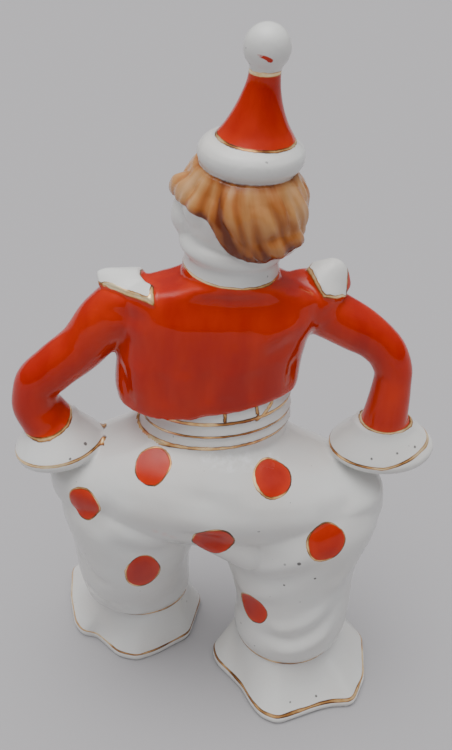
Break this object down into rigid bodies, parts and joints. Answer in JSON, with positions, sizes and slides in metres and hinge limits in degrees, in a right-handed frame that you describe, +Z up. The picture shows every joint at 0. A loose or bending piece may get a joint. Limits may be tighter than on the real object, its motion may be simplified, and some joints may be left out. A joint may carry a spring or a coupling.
{
  "type": "clown figurine",
  "caption": "Glazed porcelain figurine of a standing clown in a pointed hat, short jacket and wide spotted trousers, hands in the pockets.",
  "frame": {"origin": "on the ground, under the middle of the figure's box", "axes": "+Z up, the front faces -Y, +X towards the clown's own left hand"},
  "size_m": [0.1, 0.0644, 0.1701],
  "materials": {
    "glazed_porcelain": "glossy clear glaze over white, with orange-red, brown and gold painting"
  },
  "bodies": {
    "root": {"clown_figurine": "glazed_porcelain"}
  },
  "joints": []
}
